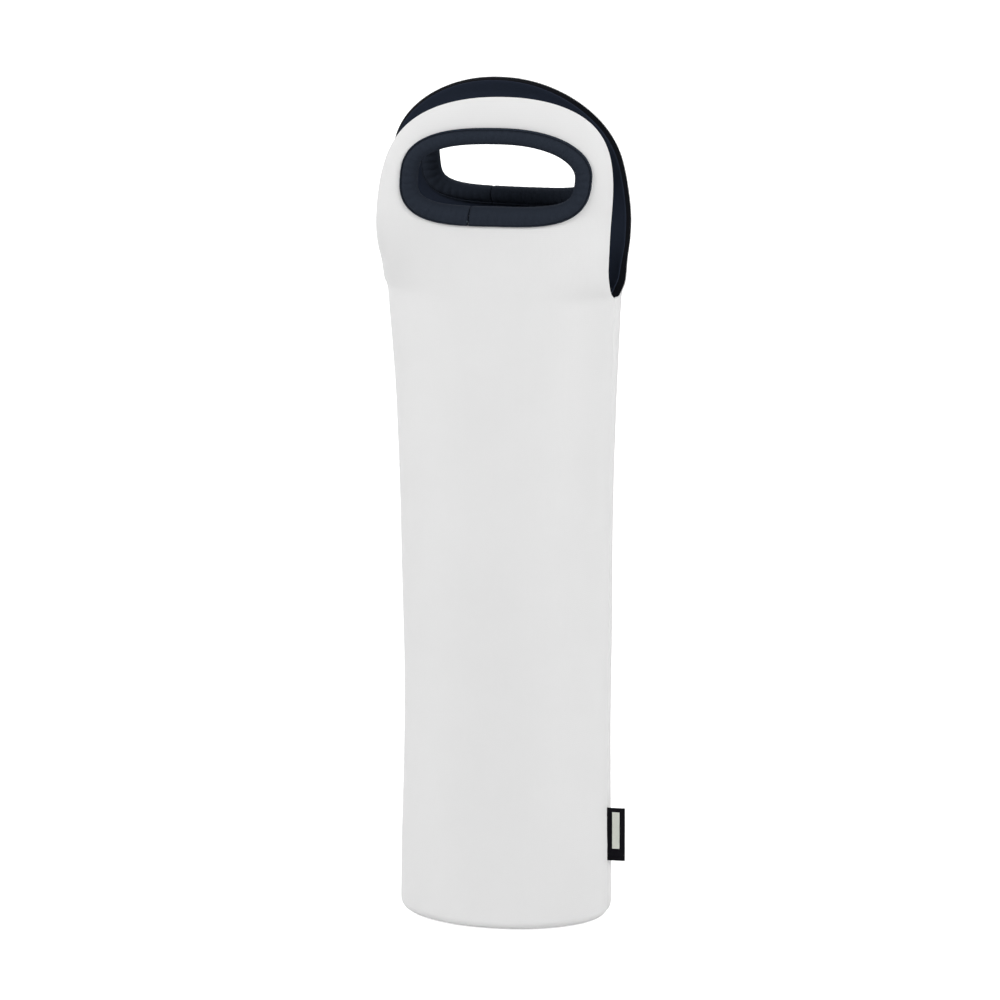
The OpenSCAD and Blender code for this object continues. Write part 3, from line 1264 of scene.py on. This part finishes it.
@dataclass
class HoleStrip:
    """The padded strip that binds a hand hole, folded over its edge and butted at its foot."""

    hole: HandHole
    side: Side
    wing: float = 5.0
    valley: float = 4.1
    flange_h: float = 1.0
    bead_out: float = 1.1
    valley_h: float = 0.6
    groove: float = 0.4
    seat: float = 0.08
    butt_gap: float = 0.3
    end_round: float = 1.4
    stations: int = 340
    flange_steps: int = 6
    bead_steps: int = 20
    stitch_pitch: float = 3.2
    swell: float = 1.0
    thin_end: float = 0.72
    uneven: float = 0.05
    uneven_length: float = 14.0
    nip_h: float = 0.3

    @property
    def swell_turn(self) -> float:
        """Turn from the strip's foot to where its bead is fullest."""
        return 0.0 if self.side is Side.FRONT else QUARTER

    def section(self, puff: float, nip: float, swell: float) -> list[tuple[float, float]]:
        """The C section as pairs of distance out from the cut edge and depth, closed.

        Args:
            puff: How full the padding is, 1 where it is full.
            nip: How much higher than at a stitch the valley stands.
            swell: How much further than elsewhere the bead stands out into the hole.

        Returns:
            The pairs, from the front flange round the bead to the back, and back inside.
        """
        wall_t = self.hole.form.wall_t
        middle = wall_t / 2
        reach = (self.hole.bead_w + self.bead_out) * mix(0.75, 1.0, puff) + swell
        start = math.acos((self.valley - self.bead_out) / (self.hole.bead_w + self.bead_out))
        valley_h = self.valley_h + nip
        full = (middle + valley_h) / math.sin(start) * puff + (middle + self.seat) * (1 - puff)
        front = []
        for k in range(self.flange_steps + 1):
            angle = math.pi * k / self.flange_steps
            half = (self.wing - self.valley) / 2
            out = (self.wing + self.valley) / 2 + half * math.cos(angle)
            rise = self.flange_h * math.sin(angle) ** 0.8 if k < self.flange_steps else 0.0
            front.append((out, -self.seat - puff * (rise + valley_h * k / self.flange_steps)))
        bead = []
        for k in range(1, self.bead_steps):
            angle = mix(start, 2 * math.pi - start, k / self.bead_steps)
            out = self.bead_out + reach * math.cos(angle)
            bead.append((out, middle - full * math.sin(angle)))
        back = [(out, wall_t - depth) for out, depth in reversed(front)]
        gap = 0.6 * self.seat
        inside = [
            (self.valley, wall_t + gap),
            (0.0, wall_t + gap),
            (-self.groove, 0.8 * wall_t),
            (-self.groove, 0.2 * wall_t),
            (0.0, -gap),
            (self.valley, -gap),
        ]
        return front + bead + back + inside

    def build(self, material: Material) -> Object:
        """Sweep the strip round the hole.

        Args:
            material: Its material.

        Returns:
            The piece, which rides on this side's flap.
        """
        turns, lengths = self.hole.turns(0.0)
        total = lengths[-1]
        start, end = self.butt_gap / 2, total - self.butt_gap / 2
        seed = 5.0 if self.side is Side.FRONT else 17.0
        rings = []
        stops = []
        for k in range(self.stations + 1):
            run = mix(start, end, k / self.stations)
            turn = float(np.interp(run, lengths, turns))
            from_end = min(run - start, end - run)
            rounding = math.sqrt(1 - (1 - min(1.0, from_end / self.end_round)) ** 2)
            puff = mix(self.thin_end, 1.0, rounding)
            puff *= 1.0 + self.uneven * noise.noise(Vector((run / self.uneven_length, seed, 0.0)))
            nip = self.nip_h * abs(math.sin(math.pi * run / self.stitch_pitch))
            swell = self.swell * max(0.0, -math.sin(turn + self.swell_turn)) ** 2
            rings.append([
                self.hole.on_flap(turn, out, depth, self.side)
                for out, depth in self.section(min(1.05, puff), nip, swell)
            ])
            stops.append(run)
        sides = len(rings[0])
        middle = rings[len(rings) // 2]
        spans = [(middle[(k + 1) % sides] - middle[k]).length / MM for k in range(sides)]
        strip = bmesh.new()
        mapped_grid(
            strip, self.stations, sides, lambda i, j: rings[i][j % sides],
            cloth=lambda i, j: (sum(spans[:j]), stops[i]),
        )
        close_ends(strip, 1e-7)
        piece = finished(f"{self.side.value}_hole_strip", strip, material)
        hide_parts(f"{self.side.value}_hole_binding")
        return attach(piece, self.side.flap)


def add_stitch(mesh: BMesh, start: Vector, end: Vector, radius: float) -> None:
    """Add one stitch: a slim rounded bar of thread between two needle holes.

    Args:
        mesh: The mesh to add to.
        start: One end, in metres.
        end: The other end, in metres.
        radius: Half the thread's thickness, in millimetres.
    """
    along = (end - start) / 2
    turned = along.to_track_quat("Z", "Y").to_matrix().to_4x4()
    sized = Matrix.Diagonal((radius * MM, radius * MM, along.length, 1.0))
    matrix = Matrix.Translation((start + end) / 2) @ turned @ sized
    bmesh.ops.create_uvsphere(mesh, u_segments=6, v_segments=6, radius=1.0, matrix=matrix)


@dataclass
class HoleStitching:
    """The stitches that hold a hole strip, on both faces, and the tack over its butt joint."""

    strip: HoleStrip
    gap: float = 0.35
    thread_r: float = 0.26
    lie: float = 0.82
    tack_half: float = 1.25
    tack_aside: float = -1.3
    tack_lie: float = 2.2
    tack_outs: tuple[float, ...] = (1.9, 2.3, 2.7)
    tack_slant: float = 0.25

    def build(self, thread: Material, tack: Material) -> None:
        """Make the two rows of stitches and the tack, which ride on the flap.

        Args:
            thread: Material of the stitches.
            tack: Material of the tack.
        """
        strip, hole = self.strip, self.strip.hole
        turns, lengths = hole.turns(strip.valley)
        count = round(lengths[-1] / strip.stitch_pitch)
        pitch = lengths[-1] / count
        rows = bmesh.new()
        for depth in (-self.lie, hole.form.wall_t + self.lie):
            for k in range(count):
                ends = [
                    float(np.interp(pitch * k + run, lengths, turns))
                    for run in (self.gap, pitch - self.gap)
                ]
                first, last = (hole.on_flap(t, strip.valley, depth, strip.side) for t in ends)
                add_stitch(rows, first, last, self.thread_r)
        self.finish(rows, f"{strip.side.value}_hole_stitches", thread)
        bar = bmesh.new()
        per_mm = (turns[1] - turns[0]) / (lengths[1] - lengths[0])
        for k, out in enumerate(self.tack_outs):
            lean = self.tack_aside + self.tack_slant * (k - 1)
            runs = (lean - self.tack_half, lean + self.tack_half)
            ends = [hole.butt_turn + per_mm * run for run in runs]
            first, last = (hole.on_flap(t, out, -self.tack_lie, strip.side) for t in ends)
            add_stitch(bar, first, last, self.thread_r)
        self.finish(bar, f"{strip.side.value}_hole_tack", tack)

    def finish(self, mesh: BMesh, name: str, material: Material) -> None:
        """Finish a mesh of stitches and ride it on the flap.

        Args:
            mesh: The stitches.
            name: The piece's name.
            material: Its material.
        """
        piece = finished(name, mesh, material)
        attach(piece, self.strip.side.flap)


@dataclass
class SeamTape:
    """Folded knit tape, sewn over the raw allowances of a seam inside the sleeve."""

    form: SleeveForm
    width: float = 5.0
    thick: float = 5.0
    squareness: float = 3.2
    sides: int = 24
    pitch: float = 3.0
    slump: float = 0.35
    waist: float = 0.16
    girth_share: float = 3.2
    base_count: int = 132
    base_pitch: float = 2.0

    def section(self, turn: float, full: float) -> tuple[float, float]:
        """Place round the tape's section: how far in from the wall, and aside.

        Args:
            turn: Angle round the section.
            full: Share of the full size.

        Returns:
            The two distances.
        """
        power = 2.0 / self.squareness
        inward = math.copysign(abs(math.cos(turn)) ** power, math.cos(turn)) * self.width / 2
        aside = math.copysign(abs(math.sin(turn)) ** power, math.sin(turn)) * self.thick / 2
        waist = 1.0 - self.waist * smooth_step(0.5 - inward / self.width)
        return inward * full, aside * full * waist

    def cloth(self, run: float, corner: int) -> tuple[float, float]:
        """Place of a corner on the flat tape, from how far along it lies."""
        return corner * self.width * self.girth_share / self.sides, run

    def side_seam(self, side: int, material: Material) -> Object:
        """Make the tape of a side seam.

        Args:
            side: -1 for the left seam, 1 for the right.
            material: Its material.

        Returns:
            The piece, which rides on the sleeve.
        """
        name = "left_seam_binding" if side < 0 else "right_seam_binding"
        low, high = box_mm(name)
        count = round((high.z - low.z) / self.pitch)
        tape = bmesh.new()

        def place(row: int, corner: int) -> Vector:
            """A corner of the tape at a row up the seam.

            Args:
                row: Count up the seam.
                corner: Count round the section.

            Returns:
                The place, in metres.
            """
            share = row / count
            z = mix(low.z, high.z, share)
            full = math.sqrt(max(0.15, 1.0 - abs(2.0 * share - 1.0) ** (0.5 * count)))
            inward, aside = self.section(2 * math.pi * corner / self.sides, full)
            centre = self.form.oval(z)[0] - self.form.wall_t - self.width / 2
            wander = self.slump * noise.noise(Vector((z / 26.0, 4.0 * side, 0.0)))
            x = side * (centre - inward) + self.form.sway(z)
            back = aside + wander - (self.form.drift(0.0, z) if side > 0 else 0.0)
            return Vector((x, back, z)) * MM

        mapped_grid(
            tape, count, self.sides, place, cloth=lambda i, j: self.cloth(i * self.pitch, j)
        )
        return self.finish(tape, name, material)

    def base_seam(self, base: BasePanel, material: Material) -> Object:
        """Make the tape that runs round the base seam.

        Args:
            base: The base that it follows.
            material: Its material.

        Returns:
            The piece, which rides on the sleeve.
        """
        low, high = box_mm("base_seam_binding")
        count = self.base_count
        tape = bmesh.new()

        def place(step: int, corner: int) -> Vector:
            """A corner of the tape at a step round the base.

            Args:
                step: Count round the base.
                corner: Count round the section.

            Returns:
                The place, in metres.
            """
            angle = 2 * math.pi * (step % count) / count - math.pi
            edge = base.outline(angle)
            turn = 2 * math.pi * corner / self.sides
            inward, up = self.section(turn, 1.0)
            way = edge.normalized()
            run = edge - way * (self.width / 2 + inward)
            seed = Vector((2.0 * math.cos(angle), 2.0 * math.sin(angle), 9.0))
            sag = self.slump * noise.noise(seed)
            return Vector((run.x, run.y, (low.z + high.z) / 2 + up + sag)) * MM

        mapped_grid(
            tape, count, self.sides, place, cloth=lambda i, j: self.cloth(i * self.base_pitch, j)
        )
        return self.finish(tape, "base_seam_binding", material)

    @staticmethod
    def finish(tape: BMesh, name: str, material: Material) -> Object:
        """Weld a tape, close its ends and ride it on the sleeve.

        Args:
            tape: The swept tape.
            name: Name of its CAD node.
            material: Its material.

        Returns:
            The piece.
        """
        close_ends(tape, 1e-6)
        piece = finished(f"{name}_tape", tape, material)
        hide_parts(name)
        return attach(piece, "sleeve")


@dataclass
class SideLabel:
    """A woven ribbon folded in two, with its open ends caught in the right side seam."""

    form: SleeveForm
    ply: float = 0.3
    fold_gap: float = 0.3
    tail: float = 3.2
    straight: int = 16
    fold: int = 10
    rows: int = 14
    bow: float = 0.9

    def build(self, material: Material) -> Object:
        """Make the label.

        Args:
            material: Its material.

        Returns:
            The piece, which bends between the seam and its own body.
        """
        low, high = box_mm("side_label")
        fold_r = (self.ply + self.fold_gap) / 2
        root, tip = low.x - self.tail, high.x - self.ply / 2 - fold_r
        length = tip - root
        across = 2 * self.straight + self.fold
        ribbon = bmesh.new()

        def path(step: int) -> tuple[float, float, float]:
            """Place along the ribbon: x, y and the length from the fold.

            Args:
                step: Count along the ribbon, from one open end to the other.

            Returns:
                The three lengths, in millimetres.
            """
            if step <= self.straight:
                x = mix(root, tip, step / self.straight)
                return x, -fold_r, x - tip
            if step >= self.straight + self.fold:
                x = mix(tip, root, (step - self.straight - self.fold) / self.straight)
                return x, fold_r, tip - x
            turn = math.pi * ((step - self.straight) / self.fold - 0.5)
            return tip + fold_r * math.cos(turn), fold_r * math.sin(turn), 0.0

        def place(step: int, row: int) -> Vector:
            """A corner of the ribbon's middle surface.

            Args:
                step: Count along the ribbon.
                row: Count up it.

            Returns:
                The place, in metres.
            """
            x, y, _ = path(step)
            rise = row / self.rows
            out = max(0.0, (x - low.x) / length)
            y += self.bow * out * out * (1.0 + 0.5 * math.sin(2.2 * rise + 0.6))
            return Vector((x, y, mix(low.z, high.z, rise))) * MM

        mapped_grid(
            ribbon, across, self.rows, place,
            cloth=lambda i, j: (path(i)[2], (high.z - low.z) * j / self.rows),
        )
        bmesh.ops.recalc_face_normals(ribbon, faces=ribbon.faces[:])
        bmesh.ops.solidify(ribbon, geom=ribbon.faces[:], thickness=self.ply * MM)
        bmesh.ops.recalc_face_normals(ribbon, faces=ribbon.faces[:])
        piece = finished("side_label_ribbon", ribbon, material)
        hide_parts("side_label")
        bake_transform(piece)
        return piece


@dataclass
class Studio:
    """The floor, the light and the camera."""

    yaw: float = 13.44
    camera_h: float = 1432.2
    distance: float = 4638.0
    aside: float = -2.68
    target_z: float = 189.5
    focal_px: float = 10794.1
    image_px: float = 1000.0
    sensor: float = 36.0
    floor_half: float = 20.0
    floor_lift: float = 0.8
    ambient: float = 0.09
    lamp_size: float = 2.2
    lamps: tuple = (
        ("key_light", (-2.9, -3.4, 3.2), 122.0),
        ("fill_light", (3.1, -3.2, 3.2), 122.0),
        ("left_light", (-4.4, 0.3, 3.0), 82.0),
        ("right_light", (4.4, 0.6, 3.0), 88.0),
        ("back_light", (-0.5, 4.6, 3.0), 90.0),
    )

    def build(self) -> None:
        """Make the whole studio."""
        scene = bpy.context.scene
        scene.view_settings.view_transform = "Standard"
        self.world(scene)
        self.floor()
        for name, place, watts in self.lamps:
            self.lamp(name, place, watts)
        self.camera(scene)

    def camera(self, scene: Scene) -> None:
        """Aim the camera from the photograph's angle.

        Args:
            scene: The scene that it films.
        """
        turn = math.radians(self.yaw)
        lens = bpy.data.cameras.new("camera")
        lens.sensor_width = self.sensor
        lens.lens = self.focal_px * self.sensor / self.image_px
        lens.clip_end = 100.0
        view = bpy.data.objects.new("camera", lens)
        across, away = math.sin(turn), math.cos(turn)
        place = Vector((self.distance * across, -self.distance * away, self.camera_h))
        target = Vector((self.aside * away, self.aside * across, self.target_z))
        view.location = place * MM
        view.rotation_euler = (target - place).to_track_quat("-Z", "Y").to_euler()
        scene.collection.objects.link(view)
        scene.camera = view

    def lamp(self, name: str, place: tuple[float, float, float], watts: float) -> None:
        """Add a soft square lamp, aimed at the middle of the carrier.

        Args:
            name: The lamp's name.
            place: Where it hangs, in metres.
            watts: Its power.
        """
        light = bpy.data.lights.new(name, "AREA")
        light.size = self.lamp_size
        light.energy = watts
        lamp = bpy.data.objects.new(name, light)
        lamp.location = place
        aim = Vector((0.0, 0.0, self.target_z * MM)) - Vector(place)
        lamp.rotation_euler = aim.to_track_quat("-Z", "Y").to_euler()
        bpy.context.scene.collection.objects.link(lamp)

    @staticmethod
    def seen(tree: NodeTree) -> Node:
        """One for rays from the camera, or off gloss or through glass, else zero.

        Args:
            tree: The node tree of the floor's material or of the world.

        Returns:
            The node that gives the number.
        """
        path = add_node(tree, "LightPath").outputs
        bent = (path["Is Glossy Ray"], path["Is Transmission Ray"])
        seen = (path["Is Camera Ray"], add_node(tree, "Math", bent, operation="MAXIMUM"))
        return add_node(tree, "Math", seen, operation="MAXIMUM")

    def world(self, scene: Scene) -> None:
        """Even white light all round, behind a plain white backdrop.

        Args:
            scene: The scene to light.
        """
        world = bpy.data.worlds.new("studio")
        world.use_nodes = True
        tree = world.node_tree
        lift = (self.seen(tree), 1.0 - self.ambient, self.ambient)
        strength = add_node(tree, "Math", lift, operation="MULTIPLY_ADD")
        feed(tree, tree.nodes["Background"], {"Color": WHITE, "Strength": strength})
        scene.world = world

    def floor(self) -> None:
        """A pale floor that shows white and keeps the carrier's soft shadow."""
        material = bpy.data.materials.new("pale_floor")
        material.use_nodes = True
        tree = material.node_tree
        lift = add_node(tree, "Math", (self.seen(tree), self.floor_lift), operation="MULTIPLY")
        feed(tree, tree.nodes["Principled BSDF"], {
            "Base Color": linear("#e6e6e6"),
            "Roughness": 0.9,
            "Specular IOR Level": 0.0,
            "Emission Color": WHITE,
            "Emission Strength": lift,
        })
        mesh = bmesh.new()
        bmesh.ops.create_grid(mesh, x_segments=8, y_segments=8, size=self.floor_half)
        data = bpy.data.meshes.new("floor")
        mesh.to_mesh(data)
        mesh.free()
        data.materials.append(material)
        floor = bpy.data.objects.new("floor", data)
        bpy.context.scene.collection.objects.link(floor)


def main() -> None:
    """Build the carrier, its stage and its view."""
    logging.basicConfig(level=logging.INFO, format="%(name)s: %(message)s")
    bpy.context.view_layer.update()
    form = SleeveForm.from_frame()
    finishes = Finishes.build()
    log.info("slit at %.1f mm, top at %.1f mm", form.slit_h, form.carrier_h)
    layers = [
        (Layer("cover", 0.0, 0.5, "cover_jersey", 0.12), finishes.cover),
        (Layer("foam", 0.53, 3.67, "foam_core", 0.2), finishes.foam),
        (Layer("lining", 3.7, 4.2, "lining_jersey", 0.12), finishes.lining),
    ]
    holes = {
        Side.FRONT: HandHole(form, aside=0.7, drop=-0.9, sag=1.4, butt_x=-10.1),
        Side.BACK: HandHole(form, aside=2.7, drop=0.5, sag=-1.0, foot_power=4.2),
    }
    for side, hole in holes.items():
        panel = LaminatePanel(form, hole, side)
        for layer, material in layers:
            panel.build(layer, material)
        strip = HoleStrip(hole, side)
        strip.build(finishes.hole_strip)
        HoleStitching(strip).build(finishes.dark_thread, finishes.tack_thread)
    base = BasePanel(form)
    for layer, material in layers:
        base.build(layer, material)
    tape = SeamTape(form)
    tape.side_seam(-1, finishes.seam_tape)
    tape.side_seam(1, finishes.seam_tape)
    tape.base_seam(base, finishes.seam_tape)
    SideLabel(form).build(finishes.ribbon)
    Studio().build()


if __name__ == "__main__":
    main()
